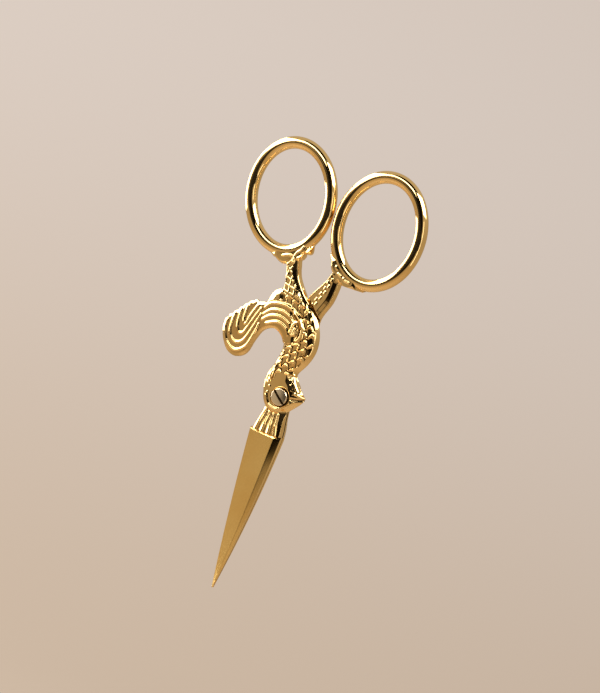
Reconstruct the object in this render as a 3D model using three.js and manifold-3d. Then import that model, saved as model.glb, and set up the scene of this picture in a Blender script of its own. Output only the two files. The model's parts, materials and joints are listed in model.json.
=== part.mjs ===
// Embroidery scissors with a bird on the handle. Two forged halves cross at one slotted screw.
// Each half has a bow for a finger, a handle and a ground blade.
// Millimetres. X runs right and Z up, seen from the front, and the front face looks along -Y.
// Outlines are drawn in X and Z from the pivot. Depth is counted from the plane where the
// halves meet, positive towards the front.

import * as THREE from 'three';
import { mergeVertices } from 'three/addons/utils/BufferGeometryUtils.js';
import Module from 'manifold-3d';

const wasm = await Module();
wasm.setup();

// Fits between the pieces
const matingGap = 0.2;
const runningClearance = 0.05;
const headClearance = 0.15;
const crossingClearance = 0.3;
const bowGap = 0.3;

// Bows: oval rings of round wire that meet side by side when the blades are closed
const wireRadius = 1.4;
const bowHalfLength = 11.9;
const bowHalfWidth = 9.65;
const frontBowLean = 13;
const rearBowLean = 0;
const bowMeetX = -1.86;
const frontBowRise = 42.05;
const rearBowRise = 41.1;

// Saddles: where a bow spreads out of its shank
const saddleSpan = 20;
const lobeHeight = 0.9;
const lobeTipShare = 0.4;
const lobeRootShare = 0.42;
const saddleThickness = 2.5;
const waistHeight = 27.5;
const waistWidth = 3.3;
const frontWaistX = -6.9;
const rearWaistX = 2.9;

// Handles: the bird's body, neck and head, with the shanks that carry the bows
const figureThickness = 2.4;
const figureRounding = 0.6;
const shankTurnShare = 0.75;
const waistRunOn = 2.3;
const shankRootHeight = 20.5;
const frontTaperTop = 25;
const rearTaperFoot = 14;

// Collars: the fluted stretches between the heads and the blades
const collarTopDrop = 2.2;
const collarTopLeft = 3.1;
const collarTopRight = 2.1;
const collarSweep = 2.6;
const shoulderStep = 0.5;

// Blades: flat inside, with a wide ground face, a ridge and a narrow face at the spine
const shoulderDrop = 8.5;
const bladeLength = 37.1;
const bladeLeft = 5.0;
const bladeRight = 2.9;
const bladePointX = -2.2;
const bladePointWidth = 0.3;
const bladeBelly = 0.55;
const edgeBellyShare = 0.5;
const bladeSpine = 2.2;
const bladeEdge = 0.3;
const bladePointThickness = 0.35;
const ridgeInset = 1.4;
const bladeStations = 8;

// Pivot screw
const screwHeadRadius = 1.9;
const screwHeadHeight = 0.5;
const screwDome = 0.35;
const screwShankRadius = 1.2;
const screwEndInset = 0.1;
const slotWidth = 0.42;
const slotDepth = 0.45;
const slotTurn = -52;

const roundSides = 36;
const wireSides = 12;
const bowSteps = 48;
const curveSteps = 3;
const domeSteps = 4;
const sharpBevel = 1e-3;
const far = 80;

const halfGap = matingGap / 2;
const shankThickness = 2 * wireRadius;
const degrees = Math.PI / 180;
const pointHeight = -shoulderDrop - bladeLength;
const turnHeight = THREE.MathUtils.lerp(shankRootHeight, waistHeight, shankTurnShare);

// The front bird, from the left of its waist round the curled tail, the neck and the head
const frontOutline = [
  [frontWaistX - waistWidth / 2, waistHeight],
  [-8.05, turnHeight], [-7.8, 22.9], [-9.4, 21.6], [-10.1, 20.4], [-10.6, 18.6],
  [-12.2, 18.0], [-13.1, 18.2], [-14.8, 17.0], [-17.2, 14.3], [-18.9, 12.3], [-19.3, 10.4],
  [-18.3, 7.5], [-16.3, 5.4], [-13.6, 4.8], [-11.5, 6.3], [-10.5, 9.6], [-9.2, 12.4], [-6.6, 13.6],
  [-4.3, 12.3], [-3.6, 10.2], [-4.1, 7.0], [-4.8, 4.2], [-4.9, 1.5], [-4.0, -1.6],
  [-2.5, -3.3], [-0.4, -3.8], [1.6, -3.2], [3.4, -1.5], [4.8, 0.2], [5.2, 1.3],
  [4.1, 2.2], [2.7, 3.3], [1.6, 4.7], [1.7, 6.0], [3.2, 8.4], [4.1, 10.8], [4.3, 13.2],
  [3.8, 15.6], [2.7, 17.8], [0.9, 19.9], [-2.2, 22.9], [-4.45, turnHeight],
  [frontWaistX + waistWidth / 2, waistHeight],
];

// The rear bird, which has no curled tail: its neck passes behind the front body
const rearOutline = [
  [rearWaistX - waistWidth / 2, waistHeight],
  [0.2, turnHeight], [-1.5, 22.9], [-2.5, 20.6], [-3.1, 17.0], [-3.2, 13.0], [-3.3, 10.0],
  [-3.9, 7.0], [-4.7, 4.2], [-4.8, 1.5], [-3.9, -1.6], [-2.5, -3.3], [-0.4, -3.8], [1.6, -3.2],
  [3.0, -1.5], [4.0, 0.2], [4.3, 1.2], [3.4, 2.1], [2.1, 3.2], [1.0, 4.7], [1.0, 6.0],
  [2.1, 8.4], [2.9, 10.8], [3.2, 13.2], [3.1, 15.6], [2.7, 17.6], [2.9, 19.6],
  [4.0, 22.9], [4.45, turnHeight],
  [rearWaistX + waistWidth / 2, waistHeight],
];

function closedSolid(geometry) {
  geometry.deleteAttribute('normal');
  geometry.deleteAttribute('uv');
  const merged = mergeVertices(geometry, 1e-4);
  const vertProperties = new Float32Array(merged.attributes.position.array);
  const triVerts = new Uint32Array(merged.index.array);
  return new wasm.Manifold(new wasm.Mesh({ numProp: 3, vertProperties, triVerts }));
}

function geometryOf(solid) {
  const mesh = solid.getMesh();
  const geometry = new THREE.BufferGeometry();
  geometry.setAttribute('position', new THREE.BufferAttribute(mesh.vertProperties, 3));
  geometry.setIndex(new THREE.BufferAttribute(mesh.triVerts, 1));
  geometry.computeVertexNormals();
  return geometry;
}

function part(name, geometry, color, roughness) {
  const material = new THREE.MeshStandardMaterial({ color, roughness, metalness: 1 });
  const mesh = new THREE.Mesh(geometry, material);
  mesh.name = name;
  return mesh;
}

// A shape drawn in X and Z, standing from depth low to depth high with its edges rounded off
function plate(shape, low, high, rounding = 0, grow = 0) {
  const thickness = Math.max(rounding, sharpBevel);
  const geometry = new THREE.ExtrudeGeometry(shape, {
    depth: high - low - 2 * thickness,
    curveSegments: curveSteps,
    bevelEnabled: true,
    bevelThickness: thickness,
    bevelSize: rounding,
    bevelOffset: grow - rounding,
    bevelSegments: rounding > 0 ? 2 : 1,
  });
  geometry.translate(0, 0, low + thickness);
  geometry.rotateX(Math.PI / 2);
  return closedSolid(geometry);
}

// A box given by its least and greatest X, depth and Z
function block(x, depth, z) {
  const geometry = new THREE.BoxGeometry(x[1] - x[0], depth[1] - depth[0], z[1] - z[0]);
  geometry.translate((x[0] + x[1]) / 2, -(depth[0] + depth[1]) / 2, (z[0] + z[1]) / 2);
  return closedSolid(geometry);
}

// A round bar on the pivot axis between two depths
function pivotBar(radius, low, high) {
  const geometry = new THREE.CylinderGeometry(radius, radius, high - low, roundSides);
  geometry.translate(0, -(low + high) / 2, 0);
  return closedSolid(geometry);
}

// A handle's outline as one smooth curve that runs on straight above the waist, where it is cut
function smoothShape(outline) {
  const points = outline.map(([x, z]) => new THREE.Vector2(x, z));
  const [first] = points;
  const last = points.at(-1);
  const shape = new THREE.Shape();
  shape.moveTo(first.x, first.y + waistRunOn);
  shape.lineTo(first.x, first.y);
  shape.splineThru(points.slice(1));
  shape.lineTo(last.x, last.y + waistRunOn);
  shape.closePath();
  return shape;
}

// A bow leans to the left by its lean and lies on one side of the line where the bows meet
function makeBow(lean, side, rise) {
  const angle = lean * degrees;
  const reach = Math.hypot(bowHalfWidth * Math.cos(angle), bowHalfLength * Math.sin(angle));
  const x = bowMeetX + side * (reach + wireRadius + bowGap / 2);
  return { angle, center: new THREE.Vector2(x, rise) };
}

// The point of a bow at parameter t, moved outwards by offset
function bowPoint(bow, t, offset) {
  const across = new THREE.Vector2(Math.cos(bow.angle), Math.sin(bow.angle));
  const along = new THREE.Vector2(-Math.sin(bow.angle), Math.cos(bow.angle));
  const outward = new THREE.Vector2(Math.cos(t) / bowHalfWidth, Math.sin(t) / bowHalfLength).normalize();
  const u = bowHalfWidth * Math.cos(t) + offset * outward.x;
  const v = bowHalfLength * Math.sin(t) + offset * outward.y;
  return bow.center.clone().addScaledVector(across, u).addScaledVector(along, v);
}

// The wire of a bow: a torus whose points are moved on to a round section carried round the oval
function bowWire(bow) {
  const geometry = new THREE.TorusGeometry(1, 0.5, wireSides, bowSteps);
  const position = geometry.attributes.position;
  for (let i = 0; i <= wireSides; i += 1) {
    const turn = (2 * Math.PI * i) / wireSides;
    for (let j = 0; j <= bowSteps; j += 1) {
      const t = (2 * Math.PI * j) / bowSteps;
      const p = bowPoint(bow, t, wireRadius * Math.cos(turn));
      position.setXYZ(i * (bowSteps + 1) + j, p.x, -wireRadius * Math.sin(turn), p.y);
    }
  }
  return closedSolid(geometry);
}

// The saddle spreads from the waist of the shank to two lobes that hold the wire
function saddle(bow, waistX) {
  const reach = new THREE.Vector2(waistX, waistHeight).sub(bow.center);
  const local = reach.rotateAround(new THREE.Vector2(), -bow.angle);
  const middle = Math.atan2(local.y / bowHalfLength, local.x / bowHalfWidth);
  const span = saddleSpan * degrees;
  const lobe = wireRadius + lobeHeight;
  const shape = new THREE.Shape();
  const left = waistX - waistWidth / 2;
  const right = waistX + waistWidth / 2;
  const leftRoot = bowPoint(bow, middle - lobeRootShare * span, lobe);
  const rightRoot = bowPoint(bow, middle + lobeRootShare * span, lobe);
  const tip = wireRadius + lobeTipShare * lobeHeight;
  const leftLobe = bowPoint(bow, middle - span, tip);
  const rightLobe = bowPoint(bow, middle + span, tip);
  const heart = [-1, -0.5, 0, 0.5, 1].map((share) => bowPoint(bow, middle + share * span, 0));
  shape.moveTo(right, waistHeight);
  shape.quadraticCurveTo(right, waistHeight + lobeHeight, rightRoot.x, rightRoot.y);
  shape.lineTo(rightLobe.x, rightLobe.y);
  heart.reverse().forEach((p) => shape.lineTo(p.x, p.y));
  shape.lineTo(leftLobe.x, leftLobe.y);
  shape.lineTo(leftRoot.x, leftRoot.y);
  shape.quadraticCurveTo(left, waistHeight + lobeHeight, left, waistHeight);
  shape.closePath();
  return plate(shape, -saddleThickness / 2, saddleThickness / 2);
}

function bowSolid(bow, waistX) {
  return bowWire(bow).add(saddle(bow, waistX));
}

// The collar narrows from the blade's shoulder up to the underside of the head
function collarShape() {
  const left = shoulderStep - bladeLeft;
  const right = bladeRight - shoulderStep;
  const bend = collarSweep - shoulderDrop;
  const shape = new THREE.Shape();
  shape.moveTo(left, -shoulderDrop);
  shape.lineTo(right, -shoulderDrop);
  shape.quadraticCurveTo(right, bend, collarTopRight, -collarTopDrop);
  shape.lineTo(-collarTopLeft, -collarTopDrop);
  shape.quadraticCurveTo((left - collarTopLeft) / 2, bend, left, -shoulderDrop);
  return shape;
}

// What is cut off the front of a handle above its taper, so that the shank is as thick as a bow
function shankCut([low, high]) {
  const everywhere = [-far, far];
  const slope = new THREE.BoxGeometry(2 * far, far, 2 * far);
  slope.translate(0, -far / 2, 0);
  slope.rotateX(-Math.atan2(figureThickness - shankThickness / 2, high - low));
  slope.translate(0, -figureThickness, low);
  const tapered = closedSolid(slope).intersect(block(everywhere, everywhere, [low, high]));
  return tapered.add(block(everywhere, [shankThickness / 2, far], [high, far]));
}

// One handle, made as if it were the front one: the figure stands in front of the meeting
// plane, and above its root the shank goes through to the other side
function handleFromFront(outline, other, taper) {
  const everywhere = [-far, far];
  const shape = smoothShape(outline);
  const behind = block(everywhere, [-far, halfGap], everywhere);
  const figure = plate(shape, -figureThickness, figureThickness, figureRounding);
  const front = figure.subtract(behind).subtract(shankCut(taper));
  const collarBar = plate(collarShape(), -figureThickness, figureThickness, figureRounding);
  const collar = collarBar.subtract(behind);
  const shank = plate(shape, -shankThickness / 2, shankThickness / 2, figureRounding);
  const upperShank = shank.intersect(block(everywhere, everywhere, [shankRootHeight, far]));
  const passing = plate(smoothShape(other), -far, halfGap, 0, crossingClearance);
  const whole = front.add(collar).add(upperShank.subtract(passing));
  return whole.intersect(block(everywhere, everywhere, [-shoulderDrop, waistHeight]));
}

// A handle made as a front one, flipped through the meeting plane to be a rear one
function throughMeetingPlane(solid) {
  const mesh = solid.getMesh();
  const vertProperties = mesh.vertProperties.map((value, i) => (i % 3 === 1 ? -value : value));
  const triVerts = mesh.triVerts.slice().reverse();
  return new wasm.Manifold(new wasm.Mesh({ numProp: 3, vertProperties, triVerts }));
}

const seatFloor = figureThickness - screwHeadHeight;
const screwHole = pivotBar(screwShankRadius + runningClearance, -far, far);
const screwSeat = pivotBar(screwHeadRadius + headClearance, seatFloor, far);

const frontTaper = [shankRootHeight, frontTaperTop];
const rearTaper = [rearTaperFoot, shankRootHeight];
const frontBlank = handleFromFront(frontOutline, rearOutline, frontTaper);
const rearBlank = throughMeetingPlane(handleFromFront(rearOutline, frontOutline, rearTaper));
const frontHandle = frontBlank.subtract(screwHole).subtract(screwSeat);
const rearHandle = rearBlank.subtract(screwHole);

// A blade is a stack of five-cornered sections from the shoulder to the point.
// Its cutting edge is on the left when spineSide is 1, and on the right when it is -1.
function bladeGeometry(spineSide) {
  const corners = [];
  for (let i = 0; i <= bladeStations; i += 1) {
    const s = i / bladeStations;
    const z = THREE.MathUtils.lerp(-shoulderDrop, pointHeight, s);
    const belly = bladeBelly * 4 * s * (1 - s);
    const straightLeft = THREE.MathUtils.lerp(-bladeLeft, bladePointX - bladePointWidth / 2, s);
    const straightRight = THREE.MathUtils.lerp(bladeRight, bladePointX + bladePointWidth / 2, s);
    const left = straightLeft - belly * edgeBellyShare;
    const right = straightRight + belly;
    const width = right - left;
    const inset = (ridgeInset * width) / (bladeLeft + bladeRight);
    const spine = THREE.MathUtils.lerp(bladeSpine, bladePointThickness, s);
    const edge = spineSide > 0 ? left : right;
    const back = spineSide > 0 ? right : left;
    const ridge = back - spineSide * inset;
    const section = [
      [edge, 0], [back, 0], [back, bladeEdge], [ridge, spine], [edge, bladeEdge],
    ];
    section.forEach(([x, depth]) => corners.push(x, -spineSide * (halfGap + depth), z));
  }
  const count = 5;
  const faces = [];
  for (let i = 0; i < bladeStations; i += 1) {
    for (let k = 0; k < count; k += 1) {
      const a = i * count + k;
      const b = i * count + ((k + 1) % count);
      faces.push(a, b, a + count, b, b + count, a + count);
    }
  }
  const last = bladeStations * count;
  for (let k = 1; k < count - 1; k += 1) {
    faces.push(0, k + 1, k, last, last + k, last + k + 1);
  }
  const geometry = new THREE.BufferGeometry();
  geometry.setAttribute('position', new THREE.Float32BufferAttribute(corners, 3));
  geometry.setIndex(faces);
  geometry.computeVertexNormals();
  return geometry;
}

// The screw turns in the front handle and is threaded into the rear one
function screwSolid() {
  const low = -figureThickness + screwEndInset;
  const under = seatFloor + runningClearance;
  const top = under + screwHeadHeight;
  const profile = [
    new THREE.Vector2(0, low),
    new THREE.Vector2(screwShankRadius, low),
    new THREE.Vector2(screwShankRadius, under),
    new THREE.Vector2(screwHeadRadius, under),
  ];
  for (let i = 0; i <= domeSteps; i += 1) {
    const turn = (i / domeSteps) * 90 * degrees;
    const radius = i < domeSteps ? screwHeadRadius * Math.cos(turn) : 0;
    profile.push(new THREE.Vector2(radius, top + screwDome * Math.sin(turn)));
  }
  const body = new THREE.LatheGeometry(profile, roundSides);
  body.rotateX(Math.PI);
  const slot = new THREE.BoxGeometry(slotWidth, 2 * far, far);
  slot.translate(0, -far - (top + screwDome - slotDepth), 0);
  slot.rotateY(slotTurn * degrees);
  return closedSolid(body).subtract(closedSolid(slot));
}

const frontBow = makeBow(frontBowLean, -1, frontBowRise);
const rearBow = makeBow(rearBowLean, 1, rearBowRise);

// The part hangs by the top of the front bow's inner side, which is its origin
const seat = bowPoint(frontBow, Math.PI / 2, -wireRadius);

const gold = 0xd9a94a;
const satinGold = 0xb98c3f;
const paleSteel = 0xbfae93;

const scissors = new THREE.Group();
scissors.position.set(-seat.x, 0, -seat.y);
scissors.add(
  part('front_bow', geometryOf(bowSolid(frontBow, frontWaistX)), gold, 0.12),
  part('front_handle', geometryOf(frontHandle), gold, 0.15),
  part('front_blade', bladeGeometry(1), satinGold, 0.42),
  part('rear_bow', geometryOf(bowSolid(rearBow, rearWaistX)), gold, 0.12),
  part('rear_handle', geometryOf(rearHandle), gold, 0.15),
  part('rear_blade', bladeGeometry(-1), satinGold, 0.42),
  part('pivot_screw', geometryOf(screwSolid()), paleSteel, 0.25),
);

export default scissors;
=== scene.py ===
import json
import bpy
import numpy as np
from mathutils import Matrix, Vector


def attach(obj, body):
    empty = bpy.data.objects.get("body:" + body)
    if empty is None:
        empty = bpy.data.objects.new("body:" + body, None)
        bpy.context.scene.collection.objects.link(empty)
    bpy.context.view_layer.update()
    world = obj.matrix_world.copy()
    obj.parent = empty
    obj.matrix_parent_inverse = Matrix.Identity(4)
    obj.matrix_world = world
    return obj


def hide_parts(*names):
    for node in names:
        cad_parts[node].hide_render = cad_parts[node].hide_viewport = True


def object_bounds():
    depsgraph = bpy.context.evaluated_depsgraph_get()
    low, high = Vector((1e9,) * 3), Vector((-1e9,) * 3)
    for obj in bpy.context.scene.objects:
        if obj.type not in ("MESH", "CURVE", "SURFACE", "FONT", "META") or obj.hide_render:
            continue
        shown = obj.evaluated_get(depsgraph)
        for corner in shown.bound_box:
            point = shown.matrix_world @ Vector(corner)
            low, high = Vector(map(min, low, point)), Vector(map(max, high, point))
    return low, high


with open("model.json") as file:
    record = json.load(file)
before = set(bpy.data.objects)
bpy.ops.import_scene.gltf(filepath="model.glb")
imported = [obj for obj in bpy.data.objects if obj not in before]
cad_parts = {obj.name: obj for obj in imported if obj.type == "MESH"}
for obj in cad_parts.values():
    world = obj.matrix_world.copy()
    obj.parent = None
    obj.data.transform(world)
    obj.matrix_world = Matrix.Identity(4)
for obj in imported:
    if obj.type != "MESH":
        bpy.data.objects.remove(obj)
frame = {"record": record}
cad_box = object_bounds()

# Camera
# The scissors hang by one bow and are seen from their right and a little from above.
# The picture is 600 by 693 pixels and has the pivot screw at pivot_pixel.
pivot = np.array(frame["record"]["behaviour"]["joints"][0]["pos_m"])
picture_size = np.array([600.0, 693.0])
pivot_pixel = np.array([283.65, 397.11])
pixels_per_radian = 2052.0
camera_distance = 0.45
camera_azimuth, camera_elevation, camera_roll = np.radians([24.0, 8.0, 18.0])


def direction(azimuth, elevation):
    """The unit vector from the scissors to a place seen from their front, in radians.

    Azimuth 0 is straight in front (-Y) and grows to the right, elevation grows upwards."""
    level = np.cos(elevation)
    return np.array([np.sin(azimuth) * level, -np.cos(azimuth) * level, np.sin(elevation)])


to_camera = direction(camera_azimuth, camera_elevation)
level_right = np.array([np.cos(camera_azimuth), np.sin(camera_azimuth), 0.0])
level_up = np.cross(to_camera, level_right)
rolled_right = np.cos(camera_roll) * level_right + np.sin(camera_roll) * level_up
rolled_up = np.cos(camera_roll) * level_up - np.sin(camera_roll) * level_right
off_axis = (picture_size / 2 - pivot_pixel) / pixels_per_radian
gaze = -to_camera + off_axis[0] * rolled_right - off_axis[1] * rolled_up
gaze /= np.linalg.norm(gaze)
picture_right = np.cross(gaze, rolled_up)
picture_right /= np.linalg.norm(picture_right)
picture_up = np.cross(picture_right, gaze)

camera_data = bpy.data.cameras.new("camera")
camera_data.sensor_fit = "HORIZONTAL"
camera_data.lens = camera_data.sensor_width * pixels_per_radian / picture_size[0]
camera_data.clip_start = 0.01
camera = bpy.data.objects.new("camera", camera_data)
turn = np.eye(4)
turn[:3, :3] = np.stack([picture_right, picture_up, -gaze], axis=1)
turn[:3, 3] = pivot + camera_distance * to_camera
camera.matrix_world = Matrix(turn.tolist())
bpy.context.collection.objects.link(camera)
bpy.context.scene.camera = camera
bpy.context.scene.view_settings.view_transform = "Standard"

# Studio
# A beige surround and a pale floor far below. The backdrop seen straight on is painted shade, darker
# low down and towards the picture's right. Soft lamps stand on the left, above the front and on the
# right. The side of the camera is dark, with a black card, so that polished metal has contrast.
# Backdrop tones and their fall-off to the right: painted shade on the backdrop.
wall_high, wall_low = (218, 204, 193), (203, 182, 161)
wall_low_end, wall_high_end = 0.34, 0.52
wall_strength, wall_shade_rightward = 0.98, -0.3
surround_high, surround_level, surround_low = (194, 186, 174), (173, 159, 139), (188, 162, 126)
surround_low_end, surround_middle, surround_high_end = 0.1, 0.5, 0.85
dark_side = (18, 15, 10)
dark_azimuth, dark_elevation = np.radians([5.0, 30.0])
dark_core, dark_rim = np.radians([44.0, 54.0])
band_core, band_rim = np.radians([20.0, 30.0])
lamp_distance = 0.6
card_left, card_right, card_low, card_high = -0.13, 0.15, 0.021, 0.052
card_front, card_roughness = -0.115, 0.9
floor_drop, floor_radius, floor_tone = 0.15, 0.5, (164, 149, 134)
floor_corners = 96
floor_fade_start, floor_fade_end = 0.2, 0.95


def tone(red, green, blue):
    """A display colour, 0 to 255, as the linear colour that a node takes.

    Each share is raised to a power of 2.4, with a straight part near black."""
    share = np.array([red, green, blue]) / 255
    linear = np.where(share <= 0.04045, share / 12.92, ((share + 0.055) / 1.055) ** 2.4)
    return (*linear.tolist(), 1.0)


def add_node(tree, kind, inputs=(), **values):
    """A new shader node with its properties set, and its inputs linked to sockets or given values."""
    node = tree.nodes.new("ShaderNode" + kind)
    for key, value in values.items():
        setattr(node, key, value)
    for socket, given in dict(inputs).items():
        if isinstance(given, bpy.types.NodeSocket):
            tree.links.new(given, node.inputs[socket])
        else:
            node.inputs[socket].default_value = given
    return node


def ramp(tree, source, stops):
    """A colour ramp from pairs of position and linear colour, fed by source."""
    node = add_node(tree, "ValToRGB", {"Fac": source})
    node.color_ramp.interpolation = "EASE"
    for element, (place, colour) in zip(node.color_ramp.elements, (stops[0], stops[-1])):
        element.position = place
        element.color = colour
    for place, colour in stops[1:-1]:
        node.color_ramp.elements.new(place).color = colour
    return node.outputs["Color"]


def new_material(name):
    """A material with an empty node tree, and that tree."""
    material = bpy.data.materials.new(name)
    material.use_nodes = True
    material.node_tree.nodes.clear()
    return material, material.node_tree


def new_object(name, points, faces, material):
    """An object in the scene, with a mesh of points in metres and faces, in one material."""
    mesh = bpy.data.meshes.new(name)
    mesh.from_pydata(points.tolist(), [], faces)
    mesh.materials.append(material)
    item = bpy.data.objects.new(name, mesh)
    bpy.context.collection.objects.link(item)
    return item


world = bpy.data.worlds.new("studio")
bpy.context.scene.world = world
world.use_nodes = True
sky = world.node_tree
sky.nodes.clear()
sight = add_node(sky, "TexCoord").outputs["Generated"]
upward = add_node(sky, "SeparateXYZ", {0: sight}).outputs["Z"]
rise = add_node(sky, "Math", {0: upward, 1: 0.5, 2: 0.5}, operation="MULTIPLY_ADD").outputs[0]
# Painted shade on the backdrop: darker low down here, and below, darker towards the picture's right.
wall_tone = ramp(sky, rise, [(wall_low_end, tone(*wall_low)), (wall_high_end, tone(*wall_high))])
to_right = add_node(sky, "VectorMath", {0: sight, 1: picture_right}, operation="DOT_PRODUCT")
wall_level = add_node(sky, "Math", {
    0: to_right.outputs["Value"], 1: wall_shade_rightward, 2: wall_strength}, operation="MULTIPLY_ADD")
surround = ramp(sky, rise, [
    (surround_low_end, tone(*surround_low)), (surround_middle, tone(*surround_level)),
    (surround_high_end, tone(*surround_high)),
])


def facing(axis, rim, core):
    """0 where the sight line's part along an axis is at rim, 1 where it is at core.

    Where core is below rim, the part counts without its sign."""
    along = add_node(sky, "VectorMath", {0: sight, 1: axis}, operation="DOT_PRODUCT")
    part = along.outputs["Value"]
    if core < rim:
        part = add_node(sky, "Math", {0: part}, operation="ABSOLUTE").outputs[0]
    share = add_node(sky, "MapRange", {
        "Value": part, "From Min": rim, "From Max": core}, interpolation_type="SMOOTHSTEP")
    return share.outputs["Result"]


ahead = facing(direction(dark_azimuth, dark_elevation), np.cos(dark_rim), np.cos(dark_core))
level_side = (np.cos(dark_azimuth), np.sin(dark_azimuth), 0.0)
middle_band = facing(level_side, np.sin(band_rim), np.sin(band_core))
darkness = add_node(sky, "Math", {0: ahead, 1: middle_band}, operation="MULTIPLY")
studio_tone = add_node(sky, "Mix", data_type="RGBA", inputs={
    "Factor": darkness.outputs[0], "A": surround, "B": tone(*dark_side)})
shown = add_node(sky, "Background", {"Color": wall_tone, "Strength": wall_level.outputs[0]})
felt = add_node(sky, "Background", {"Color": studio_tone.outputs["Result"]})
seen_directly = add_node(sky, "LightPath").outputs["Is Camera Ray"]
either = add_node(sky, "MixShader", {
    0: seen_directly, 1: felt.outputs[0], 2: shown.outputs[0]})
add_node(sky, "OutputWorld", {"Surface": either.outputs[0]})

# Each lamp stands at a direction from the pivot, in degrees, and faces it.
for name, azimuth, elevation, width, height, watts in (
        ("left_lamp", -74, 31, 0.94, 0.32, 6.4),
        ("left_low_lamp", -94, 2, 0.52, 0.34, 3.4),
        ("right_lamp", 74, 48, 0.5, 0.3, 3.2),
        ("top_lamp", -12, 40, 0.36, 0.16, 0.9),
        ("right_strip", 52, 2, 0.08, 0.5, 0.25)):
    lamp_data = bpy.data.lights.new(name, "AREA")
    lamp_data.shape = "RECTANGLE"
    lamp_data.size = width
    lamp_data.size_y = height
    lamp_data.energy = watts
    lamp = bpy.data.objects.new(name, lamp_data)
    away = Vector(direction(*np.radians([azimuth, elevation])))
    place = Matrix.Translation(Vector(pivot) + lamp_distance * away)
    lamp.matrix_world = place @ away.to_track_quat("Z", "Y").to_matrix().to_4x4()
    bpy.context.collection.objects.link(lamp)

card_points = pivot + np.array([
    (card_left, card_front, card_low), (card_right, card_front, card_low),
    (card_right, card_front, card_high), (card_left, card_front, card_high),
])
card_paint, black = new_material("dark_card")
coat = add_node(black, "BsdfPrincipled", {
    "Base Color": tone(*dark_side), "Roughness": card_roughness})
add_node(black, "OutputMaterial", {"Surface": coat.outputs[0]})
card = new_object("dark_card", card_points, [(0, 1, 2, 3)], card_paint)
card.visible_camera = False
card.visible_shadow = False
card.visible_diffuse = False

floor_middle = np.array([pivot[0], pivot[1], cad_box[0][2] - floor_drop])
turns = np.linspace(0, 2 * np.pi, floor_corners, endpoint=False)
floor_points = floor_middle + floor_radius * np.stack([np.cos(turns), np.sin(turns), 0 * turns], axis=1)
floor_paint, paint = new_material("pale_floor")
spot = add_node(paint, "TexCoord").outputs["Object"]
from_middle = add_node(paint, "VectorMath", {0: spot, 1: floor_middle}, operation="DISTANCE")
fade = add_node(paint, "MapRange", interpolation_type="SMOOTHSTEP", inputs={
    "Value": from_middle.outputs["Value"], "From Min": floor_fade_start * floor_radius,
    "From Max": floor_fade_end * floor_radius})
matte = add_node(paint, "BsdfDiffuse", {"Color": tone(*floor_tone)})
clear = add_node(paint, "BsdfTransparent")
blended = add_node(paint, "MixShader", {
    0: fade.outputs["Result"], 1: matte.outputs[0], 2: clear.outputs[0]})
add_node(paint, "OutputMaterial", {"Surface": blended.outputs[0]})
floor = new_object("floor", floor_points, [range(floor_corners)], floor_paint)

# Bows
# Two oval finger rings of round wire, forged in one with the halves and polished like mirrors.
# Under each a short neck comes up from the shank, and two leaves spread from it along the wire.
wire_radius = 1.375
bow_half_length, bow_half_width = 11.9, 9.65
front_bow_middle, front_bow_lean = np.array([-13.186, 42.05]), np.radians(13.0)
rear_bow_middle, rear_bow_lean = np.array([9.34, 41.1]), 0.0
waist_height, waist_width = 27.5, 3.3
front_waist_x, rear_waist_x = -7.1, 3.1
saddle_pitch, saddle_side, saddle_rise, saddle_steps = 0.08, 8.0, 8.5, 90
neck_top_half, neck_run_on = 2.3, 1.5
leaf_end, leaf_border, leaf_roll, leaf_blend = 6.0, 0.1, 0.7, 0.4
leaf_sink, leaf_sink_start, leaf_sink_end = 0.97, 3.0, 5.8
front_lobes = ((-1.5, 3.2, 1.6), (-3.6, 1.3, 0.5), (1.6, 1.7, 1.4), (3.5, 1.7, 1.2))
rear_lobes = ((-1.6, 3.2, 1.2), (-4.0, 1.8, 0.5), (1.8, 2.4, 1.5), (4.2, 1.8, 0.9))
front_veins = [[(0.3, 2.8), (0.6, 1.75), (1.4, 1), (2.4, 0.8), (3.3, 0.4)],
               [(-1.7, 1.15), (-0.8, 1), (0, 1.2), (0.25, 1.6)],
               [(1.3, 2.2), (2.2, 2.2), (3.4, 2.05), (4.1, 1.7)]]
rear_veins = [[(-1.9, 0.85), (-1.4, 0.95)], [(-0.5, 1.3), (0.2, 1.25)],
              [(0.9, 1.05), (1.5, 1.2), (2.3, 1)]]
front_slit = [[(2.2, 1.65), (3, 1.4), (3.8, 1.1)]]
vein_half_width, vein_height, slit_half_width, slit_depth = 0.36, 0.17, 0.28, 0.3
front_spine = [(-1.2, 4.4), (-1, 7), (0.2, 10), (1.5, 13), (1.6, 16), (0, 19),
               (-2.6, 21.8), (-5, 24.2), (-6.7, 26.4), (-7.1, 28.5), (-7.1, 32)]
rear_spine = [(-0.9, 4.4), (-0.8, 8), (0, 12), (0.2, 16), (0.4, 19.5), (1.4, 22.5),
              (2.6, 25.5), (3.1, 28.5), (3.1, 32)]
shank_crown, shank_wall, shank_roll, shank_fall_reach = 1.3, 0.4, 0.4, 1.4
left_fall, left_lean, left_lean_reach, right_fall = 0.5, 0.05, 5.0, 0.36
spine_blend, least_rise, edge_power = (-0.6, 0.1), 0.05, 2.2
lattice_pitch, lattice_slant, lattice_middle = 2.1, 1.25, -0.5
lattice_half_width, lattice_fade = 0.36, (-0.25, 0.1)
dash_columns, dash_pitch, dash_share = ((-0.8, 0.0), (-0.2, 0.5)), 1.6, 0.3
dash_half_width, dash_end = 0.3, 0.1
stroke_height, stroke_edge = 0.125, (0.1, 0.4)
border_height, border_inset, border_half_width, border_start = 0.12, 0.3, 0.28, 0.5
rim_share, rim_passes, rim_slack, least_slope = 0.72, 3, 0.03, 0.5
crease_angle = np.radians(55.0)
gold_bright, gold_deep = (0.98, 0.69, 0.29, 1.0), (0.95, 0.64, 0.25, 1.0)
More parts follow.
